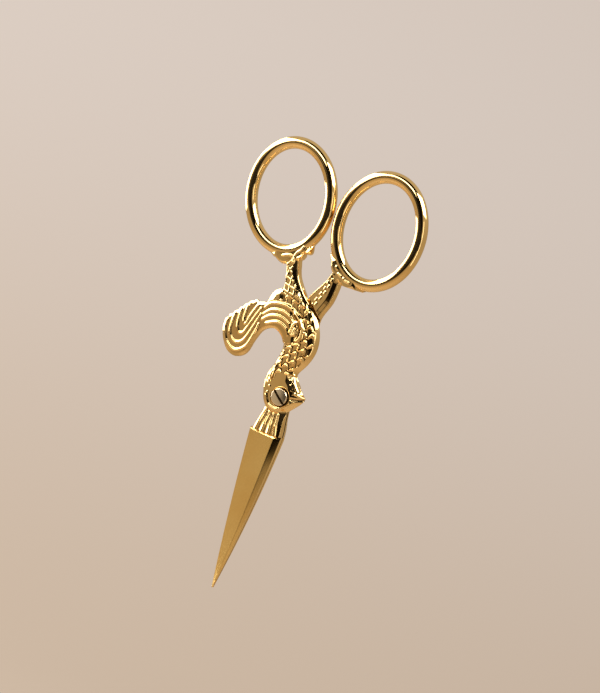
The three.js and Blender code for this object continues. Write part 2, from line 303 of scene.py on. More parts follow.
# Painted shade: the groove share darkens the metal's colour towards near black.
groove_shade_tones = [(0.0, (1.0, 1.0, 1.0, 1.0)), (0.3, (0.9, 0.85, 0.78, 1.0)),
                (1.0, (0.06, 0.04, 0.02, 1.0))]
groove_dulling, polish_share = 0.15, 0.3
cloud_scale, cloud_detail, cloud_deep, cloud_bright = 90.0, 3.0, 0.3, 0.7
grain_detail = 2.0


def smooth_step(value, low, high):
    """0 below low and 1 above high, with an S-shaped rise between them."""
    share = np.clip((value - low) / (high - low), 0, 1)
    return share * share * (3 - 2 * share)


def bell(gap, half_width):
    """One cosine wave: 1 where the gap is nothing, 0 from half_width on."""
    return 0.5 + 0.5 * np.cos(np.pi * np.clip(np.abs(gap) / half_width, 0, 1))


def rolled_edge(depth, radius):
    """A rounded shoulder: 0 at the outline, rising ever less steeply to 1 at the radius."""
    return 1 - (1 - np.clip(depth / radius, 0, 1)) ** edge_power


def grid_faces(rows, columns, wrap_rows=False, wrap_columns=False):
    """Quads of a rows by columns grid of points, going round where an axis wraps."""
    i = np.arange(rows if wrap_rows else rows - 1)[:, None]
    j = np.arange(columns if wrap_columns else columns - 1)[None, :]
    next_i, next_j = (i + 1) % rows, (j + 1) % columns
    corners = [i * columns + j, i * columns + next_j, next_i * columns + next_j, next_i * columns + j]
    return np.stack(corners, axis=-1).reshape(-1, 4)


def smooth_line(points, steps=5):
    """A curve through points: each stretch is a cubic whose slope at either end is half the step
    from the point before that end to the point after it."""
    p = np.asarray(points, float)
    padded = np.vstack([p[:1], p, p[-1:]])
    p0, p1, p2, p3 = (padded[k:len(p) - 1 + k, None, :] for k in range(4))
    t = (np.arange(steps) / steps)[None, :, None]
    bent = 0.5 * (2 * p1 + (p2 - p0) * t + (2 * p0 - 5 * p1 + 4 * p2 - p3) * t ** 2
                  + (3 * p1 - p0 - 3 * p2 + p3) * t ** 3)
    return np.vstack([bent.reshape(-1, 2), p[-1:]])


def along_line(x, z, line):
    """For each point the distance to a line of points, the arc length there and the side offset.

    The offset is positive on the right of the line's direction."""
    best = np.full(x.shape, np.inf)
    arc, offset = np.zeros(x.shape), np.zeros(x.shape)
    run = 0.0
    for (x0, z0), (x1, z1) in zip(line[:-1], line[1:]):
        length = np.hypot(x1 - x0, z1 - z0)
        ux, uz = (x1 - x0) / length, (z1 - z0) / length
        forward = np.clip((x - x0) * ux + (z - z0) * uz, 0, length)
        gap = np.hypot(x - x0 - forward * ux, z - z0 - forward * uz)
        nearer = gap < best
        best = np.where(nearer, gap, best)
        arc = np.where(nearer, run + forward, arc)
        offset = np.where(nearer, (x - x0) * uz - (z - z0) * ux, offset)
        run += length
    return best, arc, offset


def inside_depth(x, z, loop):
    """Distance from each point to a closed loop of points, positive inside it.

    A point is inside where a level ray from it crosses the loop an odd number of times."""
    loop = np.asarray(loop)
    depth = along_line(x, z, np.vstack([loop, loop[:1]]))[0]
    odd = np.zeros(x.shape, bool)
    for (x0, z0), (x1, z1) in zip(loop, np.roll(loop, -1, axis=0)):
        if z0 != z1:
            odd ^= ((z0 > z) != (z1 > z)) & (x < x0 + (z - z0) * (x1 - x0) / (z1 - z0))
    return np.where(odd, depth, -depth)


def cut_sheet(low, high, pitch, depth_of, *shape):
    """A fine grid over a rectangle in X and Z, cut to where depth_of a shape is positive.

    Points near the outline are moved on to it along the slope of the depth, so the rim follows it.
    Returns X and Z of the points, then the quads and the triangles between them."""
    columns = int((high[0] - low[0]) / pitch) + 1
    rows = int((high[1] - low[1]) / pitch) + 1
    xs, zs = np.linspace(low[0], high[0], columns), np.linspace(low[1], high[1], rows)
    x, z = np.meshgrid(xs, zs)
    depth = depth_of(x, z, *shape)
    slope_z, slope_x = np.gradient(depth, zs, xs)
    steep = np.maximum(np.hypot(slope_x, slope_z), least_slope)
    on_rim = np.abs(depth) < rim_share * pitch
    step_x, step_z = slope_x[on_rim] / steep[on_rim] ** 2, slope_z[on_rim] / steep[on_rim] ** 2
    for _ in range(rim_passes):
        miss = depth_of(x[on_rim], z[on_rim], *shape)
        x[on_rim] -= miss * step_x
        z[on_rim] -= miss * step_z
    z[0], z[-1] = low[1], high[1]
    kept = (on_rim | (depth > 0)).ravel()
    quads = grid_faces(rows, columns)
    held = kept[quads]
    whole = quads[held.all(1) & ~on_rim.ravel()[quads].all(1)]
    corners = quads[held.sum(1) == 3]
    missing = np.argmin(kept[corners], axis=1)
    triangles = np.take_along_axis(corners, (missing[:, None] + np.arange(1, 4)) % 4, axis=1)
    triangles = triangles[~on_rim.ravel()[triangles].all(1)]
    used, numbers = np.unique(np.concatenate([whole.ravel(), triangles.ravel()]), return_inverse=True)
    whole, triangles = numbers[:whole.size].reshape(-1, 4), numbers[whole.size:].reshape(-1, 3)
    return x.ravel()[used], z.ravel()[used], whole, triangles


def closed_slab(x, front, back, z, whole, triangles):
    """Closes two sheets over the same X and Z, at Y front and back, by a wall along their open edges.

    Returns the points, arrays of faces and which points lie on the rims of the wall."""
    points = np.concatenate([
        np.stack(np.broadcast_arrays(x, y, z), axis=-1).reshape(-1, 3) for y in (front, back)])
    edges = np.concatenate([
        np.stack([faces, np.roll(faces, -1, axis=1)], axis=-1).reshape(-1, 2)
        for faces in (whole, triangles)])
    _, first, times = np.unique(np.sort(edges, axis=1), axis=0, return_index=True, return_counts=True)
    a, b = edges[first[times == 1]].T
    count = x.size
    wall = np.stack([b, a, a + count, b + count], axis=1)
    faces = [whole, triangles, whole[:, ::-1] + count, triangles[:, ::-1] + count, wall]
    return points, faces, np.isin(np.arange(2 * count), wall)


def forged_piece(name, shells, body, finish, grooves=(), polish=()):
    """One piece from closed shells in millimetres from the pivot, riding on a body for its node.

    Shading breaks along the rims of the walls. The shares of groove, which is painted shade, and of
    polish of the first points go into the attributes that the finish reads."""
    starts = np.cumsum([0] + [len(points) for points, _, _ in shells])
    points = pivot + np.vstack([points for points, _, _ in shells]) / 1000
    faces = [face for start, (_, sheets, _) in zip(starts, shells)
             for sheet in sheets for face in (sheet + start).tolist()]
    rims = np.concatenate([rim for _, _, rim in shells])
    piece = new_object(name, points, faces, finish)
    mesh = piece.data
    mesh.polygons.foreach_set("use_smooth", np.ones(len(mesh.polygons), bool))
    mesh.set_sharp_from_angle(angle=crease_angle)
    ends = np.empty(2 * len(mesh.edges), np.int32)
    sharp = np.empty(len(mesh.edges), bool)
    mesh.edges.foreach_get("vertices", ends)
    mesh.edges.foreach_get("use_edge_sharp", sharp)
    mesh.edges.foreach_set("use_edge_sharp", sharp | rims[ends.reshape(-1, 2)].all(1))
    # The groove attribute carries painted shade for the finish.
    for label, given in (("groove", grooves), ("polish", polish)):
        shares = np.zeros(len(points), np.float32)
        shares[:len(given)] = given
        mesh.attributes.new(label, "FLOAT", "POINT").data.foreach_set("value", shares)
    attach(piece, body)
    return piece


def metal_finish(name, bright, deep, roughness, roughness_spread, grain_scale, grain_depth):
    """Metal whose colour drifts slowly between two tones, with painted shade where the groove share is
    high.

    A fine noise, stretched by grain_scale, gives the polishing grain and lets the roughness drift,
    which rises in grooves and falls where polished."""
    finish, tree = new_material(name)
    place = add_node(tree, "TexCoord").outputs["Object"]
    clouds = add_node(tree, "TexNoise", {
        "Vector": place, "Scale": cloud_scale, "Detail": cloud_detail}).outputs["Fac"]
    groove = add_node(tree, "Attribute", attribute_name="groove").outputs["Fac"]
    polish = add_node(tree, "Attribute", attribute_name="polish").outputs["Fac"]
    drift = ramp(tree, clouds, [(cloud_deep, deep), (cloud_bright, bright)])
    # Painted shade: the colour is multiplied by the groove tones.
    soiled = add_node(tree, "Mix", data_type="RGBA", blend_type="MULTIPLY", inputs={
        "Factor": 1.0, "A": drift, "B": ramp(tree, groove, groove_shade_tones)})
    stretched = add_node(tree, "Mapping", {"Vector": place, "Scale": grain_scale})
    grain = add_node(tree, "TexNoise", {
        "Vector": stretched.outputs["Vector"], "Scale": 1.0, "Detail": grain_detail}).outputs["Fac"]
    wear = add_node(tree, "MapRange", {
        "Value": grain, "To Min": roughness - roughness_spread, "To Max": roughness + roughness_spread})
    unpolished = add_node(tree, "MapRange", {
        "Value": polish, "To Min": 1.0, "To Max": polish_share})
    smoothed = add_node(tree, "Math", operation="MULTIPLY", inputs={
        0: wear.outputs["Result"], 1: unpolished.outputs["Result"]})
    dulled = add_node(tree, "Math", operation="MULTIPLY_ADD", inputs={
        0: groove, 1: groove_dulling, 2: smoothed.outputs[0]})
    relief = add_node(tree, "Bump", {"Height": grain, "Strength": 1.0, "Distance": grain_depth})
    metal = add_node(tree, "BsdfPrincipled", {
        "Base Color": soiled.outputs["Result"], "Metallic": 1.0, "Roughness": dulled.outputs[0],
        "Normal": relief.outputs["Normal"]})
    add_node(tree, "OutputMaterial", {"Surface": metal.outputs[0]})
    return finish


polished_gold = metal_finish(
    "polished_gold", gold_bright, gold_deep, roughness=0.07, roughness_spread=0.02,
    grain_scale=(2600.0, 2600.0, 2600.0), grain_depth=0.0000004)


def beads(x, z, lines, half_width):
    """Round ridges along lines, each a bell across the line."""
    return bell(np.min([along_line(x, z, smooth_line(line))[0] for line in lines], axis=0), half_width)


def forged_section(edge, offset, crown, wall, radius, right_reach, left_reach):
    """Height of a forged bar: a rolled edge up to a crown, with a chamfer on the left and a fall on
    the right of the spine, both plain slopes before the edge. The face leans a little to the left."""
    right = smooth_step(offset, *spine_blend)
    top = crown - right_fall * np.clip(right_reach - edge, 0, None) * right
    top -= left_fall * np.clip(left_reach - edge, 0, None) * (1 - right)
    top -= left_lean * np.clip(-offset, 0, left_lean_reach)
    return wall + np.maximum(top - wall, least_rise) * rolled_edge(edge, radius)


def shank_strokes(arc, offset, edge, crossed):
    """Raised strokes on the left of a shank and a fine border on its right.

    They cross in a lattice of diamonds, or else are short dashes along it in two staggered columns."""
    if crossed:
        slants = [arc + side * lattice_slant * (offset - lattice_middle) for side in (-1, 1)]
        gaps = [((slant / lattice_pitch) % 1 - 0.5) * lattice_pitch for slant in slants]
        strokes = bell(np.min(np.abs(gaps), axis=0), lattice_half_width)
        strokes *= smooth_step(-offset, *lattice_fade)
    else:
        strokes = np.zeros(arc.shape)
        for place, shift in dash_columns:
            from_dash = np.abs((arc / dash_pitch + shift) % 1 - 0.5)
            dash = bell(offset - place, dash_half_width) * smooth_step(dash_share - from_dash, 0, dash_end)
            strokes = np.maximum(strokes, dash)
    border = bell(edge - border_inset, border_half_width) * smooth_step(offset, 0, border_start)
    return stroke_height * strokes * smooth_step(edge, *stroke_edge) + border_height * border


def bow_wire(middle, lean, steps=540, section_steps=48):
    """A round section carried round an oval, as a closed shell, and the oval's axis."""
    t = np.linspace(0, 2 * np.pi, steps, endpoint=False)[:, None]
    q = np.linspace(0, 2 * np.pi, section_steps, endpoint=False)[None, :, None]
    across = np.array([np.cos(lean), 0, np.sin(lean)])
    along = np.array([-np.sin(lean), 0, np.cos(lean)])
    axis = (np.array([middle[0], 0, middle[1]])
            + bow_half_width * np.cos(t) * across + bow_half_length * np.sin(t) * along)
    outward = np.cos(t) / bow_half_width * across + np.sin(t) / bow_half_length * along
    outward /= np.linalg.norm(outward, axis=1, keepdims=True)
    points = (axis[:, None, :] + wire_radius * np.cos(q) * outward[:, None, :]
              + wire_radius * np.sin(q) * np.array([0, -1.0, 0]))
    faces = [grid_faces(steps, section_steps, True, True)]
    return (points.reshape(-1, 3), faces, np.zeros(steps * section_steps, bool)), axis[:, [0, 2]]


def saddle(axis, waist_x, spine, lobes, veins, slits, crossed):
    """The neck under a bow and its two leaves, as a slab with the same relief on both sides.

    Neck and leaves share one nearly flat face with rolled edges, which comes out of the wire's outer
    side. The leaves' outline is the wire's own with round lobes, and they carry raised veins."""
    seat = np.argmin(np.hypot(axis[:, 0] - waist_x, axis[:, 1] - waist_height))
    near = np.take(axis, np.arange(seat - saddle_steps, seat + saddle_steps + 1), axis=0, mode="wrap")
    middle_arc = np.linalg.norm(np.diff(near[:saddle_steps + 1], axis=0), axis=1).sum()
    foot = near[saddle_steps]
    tangent = near[saddle_steps + 1] - foot
    tangent /= np.linalg.norm(tangent)
    waist_left, waist_right = waist_x - waist_width / 2, waist_x + waist_width / 2
    left_side = [(waist_left, waist_height - neck_run_on), (waist_left, waist_height),
                 foot - neck_top_half * tangent]
    right_side = [foot + neck_top_half * tangent, (waist_right, waist_height),
                  (waist_right, waist_height - neck_run_on)]
    neck_loop = np.vstack([smooth_line(left_side), smooth_line(right_side)])

    def leaf_depth(x, z):
        """Depth inside the leaves, depth from their outer side, and run and offset along the wire."""
        _, arc, offset = along_line(x, z, near)
        run = arc - middle_arc
        lobe = np.max([rise * bell(run - place, half) for place, half, rise in lobes], axis=0)
        outer = wire_radius + lobe - offset
        depth = np.minimum(np.minimum(outer, offset - leaf_border), leaf_end - np.abs(run))
        return depth, outer, run, offset

    def saddle_depth(x, z):
        """Depth inside the leaves or the neck."""
        return np.maximum(leaf_depth(x, z)[0], inside_depth(x, z, neck_loop))

    low = (foot[0] - saddle_side, waist_height)
    high = (foot[0] + saddle_side, waist_height + saddle_rise)
    x, z, whole, triangles = cut_sheet(low, high, saddle_pitch, saddle_depth)
    leaf, outer, run, offset = leaf_depth(x, z)
    neck = inside_depth(x, z, neck_loop)
    _, along, aside = along_line(x, z, smooth_line(spine))
    on_leaf = smooth_step(outer, -leaf_blend, leaf_blend)
    fall_reach = shank_fall_reach * (1 - on_leaf)
    neck_face = forged_section(neck, aside, shank_crown, shank_wall, shank_roll, fall_reach, 0)
    neck_face += shank_strokes(along, aside, neck, crossed) * (1 - on_leaf)
    leaf_face = shank_wall + (shank_crown - shank_wall) * rolled_edge(outer, leaf_roll)
    leaf_face *= 1 - leaf_sink * smooth_step(np.abs(run), leaf_sink_start, leaf_sink_end)
    face = np.where(leaf > -rim_slack, leaf_face, 0)
    face = np.maximum(face, np.where(neck > -rim_slack, neck_face, 0))
    face += vein_height * beads(run, offset, veins, vein_half_width)
    if slits:
        face -= slit_depth * beads(run, offset, slits, slit_half_width)
    return closed_slab(x, -face, face, z, whole, triangles)


for half, bow_middle, bow_lean, waist_x, spine, lobes, veins, slits in (
        ("front", front_bow_middle, front_bow_lean, front_waist_x, front_spine,
         front_lobes, front_veins, front_slit),
        ("rear", rear_bow_middle, rear_bow_lean, rear_waist_x, rear_spine,
         rear_lobes, rear_veins, None)):
    wire, axis = bow_wire(bow_middle, bow_lean)
    shells = [wire, saddle(axis, waist_x, spine, lobes, veins, slits, half == "front")]
    bow = forged_piece(f"{half}_finger_bow", shells, f"{half}_half", polished_gold)
    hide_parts(f"{half}_bow")

# Handles
# Each handle is die-forged in one with its bow and blade: a scaled shank, the bird's body, neck and
# head, and a fluted collar. The front one has the curled tail. Dies left the relief, then polishing.
meeting_gap = 0.1
forging_pitch = 0.09
front_outline = [
    (-8.75, 27.5), (-8.25, 25.75), (-7.9, 22.9), (-9.4, 21.6), (-10.1, 20.4), (-10.6, 18.6),
    (-12.2, 18), (-13.1, 18.2), (-14.8, 17), (-17.2, 14.3), (-18.9, 12.3), (-19.3, 10.4),
    (-18.3, 7.5), (-16.3, 5.4), (-13.6, 4.8), (-11.5, 6.3), (-10.5, 9.6), (-9.2, 12.4), (-6.6, 13.6),
    (-4.3, 12.3), (-3.6, 10.2), (-4.1, 7), (-4.8, 4.2), (-4.9, 1.5), (-4, -1.6), (-2.5, -3.3),
    (-0.4, -3.8), (1.6, -3.2), (3.4, -1.5), (4.8, 0.2), (5.2, 1.3), (4.1, 2.3), (3.1, 3.5),
    (2, 4.9), (1.8, 6), (3.2, 8.4), (4.1, 10.8), (4.3, 13.2), (3.8, 15.6), (2.7, 17.8),
    (0.9, 19.9), (-2.35, 22.9), (-4.65, 25.75), (-5.45, 27.5),
]
rear_outline = [
    (1.45, 27.5), (0.4, 25.75), (-1.35, 22.9), (-2.5, 20.6), (-3.1, 17), (-3.2, 13), (-3.3, 10),
    (-3.9, 7), (-4.7, 4.2), (-4.8, 1.5), (-3.9, -1.6), (-2.5, -3.3), (-0.4, -3.8), (1.6, -3.2),
    (3, -1.5), (4, 0.2), (4.3, 1.2), (3.4, 2.4), (2.65, 3.7), (1.45, 4.9), (1.2, 6), (2.1, 8.4),
    (2.9, 10.8), (3.2, 13.2), (3.1, 15.6), (2.7, 17.6), (2.9, 19.6), (4.2, 22.9), (4.65, 25.75),
    (4.75, 27.5),
]
tail_border = [(-10.6, 18.4), (-9.4, 19.3), (-6.2, 19.9), (-3.4, 19.3), (-0.8, 17.6), (0.5, 15.4),
               (0.5, 13.4), (-0.6, 12.1), (-2.4, 11.5), (-3.6, 11.4)]
tip_slope, tip_left, scallop_pitch, scallop_depth = (29.6, 30.6), (12.8, 13.6), 1.5, 0.22
tail_lean, tail_foot, tail_blend = 0.07, -8.0, (-0.2, 0.25)
ridge_shift, ridge_gentle, ridge_steep = (-0.04, 0.03), 0.52, 0.34
ridge_height, ridge_edge = 0.22, 0.5
rim_height, rim_half_width, rim_edge = 0.26, 0.8, (0.1, 1)
sunk_depth, sunk_place, sunk_half_width = 0.2, 1.1, 0.7
wing_rim = [(-2.4, 18.2), (-0.9, 17), (0, 15.4), (0.15, 13.9), (-0.2, 13)]
tail_side = [(-6.6, 9), (-12, 2), (-22, 2), (-22, 20), (-12.4, 20)]
tail_ridges = [
    [(-10.2, 17.3), (-9, 18.7), (-6, 19.3), (-3.5, 18.7), (-1, 17), (0, 15.3), (0.1, 13.7),
     (-0.5, 12.6)],
    [(-10.1, 15.8), (-8.5, 17.3), (-6, 17.8), (-3.8, 17.2), (-2.9, 16.4)],
    [(-10, 14.6), (-8.4, 16), (-6, 16.5), (-3.8, 15.8), (-3, 14.9)],
    [(-8.8, 14.1), (-7, 15), (-5.5, 15.2), (-3.9, 14.5), (-2.9, 13.3)],
    [(-18.4, 12.4), (-18.3, 9.8), (-16.8, 7.2), (-14.3, 6.1), (-12, 7.6), (-11, 10.4),
     (-10.6, 13.2)],
    [(-17, 13.9), (-17, 10), (-15.8, 8.2), (-14.4, 7.8), (-12.9, 8.8), (-11.9, 11.4),
     (-10.8, 15.4)],
    [(-15.8, 15.3), (-15.6, 11.8), (-14.9, 10.3), (-14.2, 10), (-13.4, 10.6), (-12.6, 12.9),
     (-11.2, 16.6)],
    [(-14.5, 16.2), (-14.5, 13.6), (-14.1, 12.4), (-13.6, 12.5), (-13.2, 14.2), (-12.2, 16.9)],
    [(-2.7, 14), (-2.4, 16), (-1.8, 16.5), (-1.3, 15.6), (-1.4, 13.8)],
    [(-2, 13.6), (-1.9, 14.9)],
]
mouth = [[(5, 1), (4.2, 0.65), (3.3, 0.4), (2.6, 0.3)]]
upper_beak = [[(3.1, 1.75), (4, 1.6), (5, 1.35)]]
brow_band = [[(1.5, 5.3), (2, 4.35), (2.75, 3.25), (3.5, 2.35)]]
mouth_depth, mouth_half_width = 0.3, 0.52
beak_height, beak_half_width = 0.2, 0.45
brow_height, brow_half_width, brow_edge = 0.36, 0.65, 0.3
cheek_arcs, arc_radius = ((1.2, 3.75), (1.65, 2.75), (2.15, 1.7)), 0.5
arc_height, arc_half_width = 0.07, 0.2
cheek_beads, bead_height, bead_half_width = [(-3.3, 1.5), (-3.35, 0.1)], 0.13, 0.42
head_middle, head_disc, cheek_reach, cheek_side = np.array([-1.3, 0.9]), 3.0, 3.2, (0, 0.8)
chin_height, chin_inset, chin_half_width = 0.22, 1.0, 0.42
chin_top, chin_right = (-0.2, 0.8), (-3.2, -2.4)
nape_right, nape_left, nape_top = (2, 2.6), (-6.5, -5.5), (-9.5, -8.5)
nape_width, nape_blend, nape_foot = 1.5, 0.3, (2.2, 3)
nape_columns, nape_pitch, nape_share = ((0.4, 0), (0.95, 0.5)), 2.1, 0.42
nape_height, nape_half_width, nape_end = 0.2, 0.28, 0.12
crest_height, crest_slope, crest_blend = 5.1, 0.1, 0.2
crest_wave, crest_wave_start, crest_wave_length = 0.3, 0.3, 1.9
crest_drop, crest_drop_side = 2.6, (2.2, 3.4)
collar_side_left = [(-3.1, -2.2), (-3.7, -4.9), (-4.5, -8.5), (-4.9, -10.5)]
collar_side_right = [(2.85, -10.5), (2.75, -8.5), (2.65, -7), (2.4, -5.2), (2.1, -2.2)]
flute_start, flute_pitch, flute_count = -3.75, 1.27, 4
flute_ground, flute_drop, flute_round = 0.28, 0.32, 0.22
flute_fan, flute_level, flute_middle = 0.09, -5.5, -0.9
flute_height, flute_edge, flute_end, flute_top = 0.36, 0.45, 0.1, (3.2, 3.9)
collar_crown, collar_fall, collar_wall = 1.75, 0.4, 0.7
collar_sink, collar_sink_start = 0.4, (-6.5, -3)
collar_roll, collar_roll_loss, collar_roll_side = 0.7, 0.5, (0.5, 1.5)
shank_root, rear_shank_foot, shoulder_height = 20.5, 17.4, -8.5
front_taper, rear_taper = (20.5, 25), (14, 20.5)
front_crowns = ((4, 2.12), (18, 1.72), (27.5, shank_crown))
rear_crowns = ((14, 2.1), (20.5, shank_crown))
body_wall, tail_wall, low_wall, brow_wall = 0.5, 0.7, 0.85, 0.9
body_roll, tail_roll, low_roll, brow_roll = 1.1, 0.95, 0.5, 0.6
body_fall_reach, chamfer_reach, head_sink = 2.2, 1.3, 0.12
brow_side, low_blend, on_shank_blend = (0.6, 1.4), (3, 7), (21, 22.4)
hip_left, hip_top = (6.6, 8.2), (-22.6, -21.4)
scale_pitch, scale_width, scale_reach, scale_round = 1.7, 1.9, 1.05, 0.85
scale_height, scale_level, scale_edge = 0.48, 0.4, (0.1, 0.9)
scale_climb, scale_side_fall = 0.3, 1.4
lip_height, lip_inset, lip_half_width, lip_drop = 0.5, 0.3, 0.34, 0.3
# Painted shade in a band at the foot of each scale's lip.
crease_shade_place, crease_shade_half_width = 0.08, 0.36
plain_border, plain_side = (0.7, 1.2), (0, 0.6)
# Shares of painted shade: over the scaled body, on the tail's ground, in the mouth and on the collar's
# ground.
scale_shade, tail_shade, mouth_shade, flute_shade = 0.25, 0.3, 0.8, 0.2
lowest_face, outline_steps, outline_run_on, sheet_margin = 0.3, 4, 3, 0.2
clear_gap, swell_rise, eased_depth, eased_width = (0.35, 0.7), 1.0, 0.12, 0.3
screw_hole, screw_recess, recess_floor, recess_edge = 1.25, 2.08, 1.78, 0.22


def feather_scales(arc, offset):
    """Overlapping scales in staggered rows along a spine, free ends away from the head.

    Each scale climbs from its root to a lip at its free edge, where it drops to the scale beneath.
    Returns the height and the share of painted crease shade, which follows the foot of each lip."""
    row = np.floor(arc / scale_pitch)
    sheets = []
    for step in (1, 0):
        run = arc / scale_pitch - (row - step)
        place = offset / scale_width - 0.5 * ((row - step) % 2)
        place -= np.round(place)
        end = scale_reach + scale_round * (1 - (2 * place) ** 2)
        climb = scale_climb * run / end * (1 - scale_side_fall * place ** 2)
        climb += lip_height * bell(run - end + lip_inset, lip_half_width)
        # Painted shade at the foot of the lip.
        crease_shade = bell(run - end - crease_shade_place, crease_shade_half_width)
        sheets.append((climb, smooth_step(end - run, 0, lip_drop), crease_shade))
    (upper, covered, crease_shade), (lower, _, _) = sheets
    return lower + np.maximum(upper - lower, 0) * covered, crease_shade


def handle_loops(outline):
    """The figure's and the collar's closed outlines, run on past the planes where they are cut."""
    curve = smooth_line(outline, outline_steps)
    figure = np.vstack([curve[:1] + [0, outline_run_on], curve, curve[-1:] + [0, outline_run_on]])
    collar = np.vstack([smooth_line(collar_side_left), smooth_line(collar_side_right)])
    return figure, collar


def figure_depth(x, z, figure, tailed):
    """Depth inside the figure's outline, with the feather tips notched into the tail's upper edge."""
    depth = inside_depth(x, z, figure)
    if tailed:
        tips = smooth_step(z - x, *tip_slope) * smooth_step(-x, *tip_left)
        notch = np.abs(np.sin(np.pi * (x + z) / np.sqrt(2) / scallop_pitch))
        depth = depth - scallop_depth * tips * (1 - notch)
    return depth


def tail_relief(x, z, edge):
    """The tail's share of the face, its relief and the share of ridge.

    Ridges, gentle on the upper left and steep on the other side, stand on plain ground that leans to
    the left, with a broad rim round the wing and a sunk band inside it."""
    tail_loop = np.vstack([smooth_line(tail_border), tail_side])
    tail = smooth_step(inside_depth(x, z, tail_loop), *tail_blend)
    lines = [smooth_line(line) for line in tail_ridges]
    gap, ahead = (np.min([along_line(x + shift[0], z + shift[1], line)[0] for line in lines], axis=0)
                  for shift in ((0, 0), ridge_shift))
    gentle = 0.5 + 0.5 * np.clip((ahead - gap) / np.hypot(*ridge_shift), -1, 1)
    ridge = bell(gap, ridge_steep + (ridge_gentle - ridge_steep) * gentle)
    ridge = ridge * tail * smooth_step(edge, 0, ridge_edge)
    rim_gap, _, rim_side = along_line(x, z, smooth_line(wing_rim))
    rim = bell(rim_gap, rim_half_width) * smooth_step(edge, *rim_edge)
    sunk = bell(rim_gap - sunk_place, sunk_half_width) * (rim_side > 0) * tail
    lean = tail_lean * np.clip(x - tail_foot, None, 0) * tail
    return tail, ridge_height * ridge + rim_height * rim - sunk_depth * sunk + lean, ridge


def head_relief(x, z, face, edge, head, nape):
    """The face with the bird's head worked into it, and the share of painted shade in the mouth.

    A border line runs round under the chin, and two columns of dashes down the nape. The cheek has
    three small arches and two beads. The brow and the upper beak are raised over the mouth's groove."""
    chin = smooth_step(-z, *chin_top) * smooth_step(-x, *chin_right) * head
    face = face + chin_height * chin * bell(edge - chin_inset, chin_half_width)
    feathered = nape_height * nape * smooth_step(z, *nape_foot)
    for place, shift in nape_columns:
        dash = smooth_step(nape_share - np.abs((z / nape_pitch + shift) % 1 - 0.5), 0, nape_end)
        face += feathered * bell(edge - place, nape_half_width) * dash
    for arc_x, arc_z in cheek_arcs:
        ring = bell(np.hypot(x - arc_x, z - arc_z) - arc_radius, arc_half_width)
        ring *= smooth_step(x + z - arc_x - arc_z, -arc_half_width, arc_half_width)
        face += arc_height * ring * head
    for bead_x, bead_z in cheek_beads:
        face += bead_height * bell(np.hypot(x - bead_x, z - bead_z), bead_half_width) * head
    face += brow_height * beads(x, z, brow_band, brow_half_width) * smooth_step(edge, 0, brow_edge)
    face += beak_height * beads(x, z, upper_beak, beak_half_width) * head
    # Painted shade in the mouth's groove.
    gape = beads(x, z, mouth, mouth_half_width) * head
    return face - mouth_depth * gape, gape


def collar_relief(x, z, depth):
    """The fluted collar: ribs that fan out downwards on flat ground, each a plain climb from the left
    and a steeper drop on the right with rounded corners. The face sinks under the head and falls to
    the right beside the last rib. Returns its height and the share of rib, off which the ground gets
    painted shade."""
    level = flute_middle + (x - flute_middle) / (1 + flute_fan * (flute_level - z))
    place = (level - flute_start) / flute_pitch
    share = place % 1
    climb = (share - flute_ground) / (1 - flute_ground - flute_drop)
    drop = (1 - share) / flute_drop
    crest = 0.5 * (climb + drop - np.sqrt((climb - drop) ** 2 + flute_round ** 2))
    flutes = 0.5 * (crest + np.sqrt(crest ** 2 + flute_round ** 2))
    flutes *= smooth_step(place, 0, flute_end) * smooth_step(flute_count - place, 0, flute_end)
    flutes *= smooth_step(-z, *flute_top)
    plain = np.clip(level - flute_start - flute_count * flute_pitch, 0, None)
    crown = collar_crown - collar_fall * plain - collar_sink * smooth_step(z, *collar_sink_start)
    roll = collar_roll - collar_roll_loss * smooth_step(x, *collar_roll_side)
    face = collar_wall + (crown - collar_wall) * rolled_edge(depth, roll)
    return face + flute_height * flutes * smooth_step(depth, 0, flute_edge), flutes


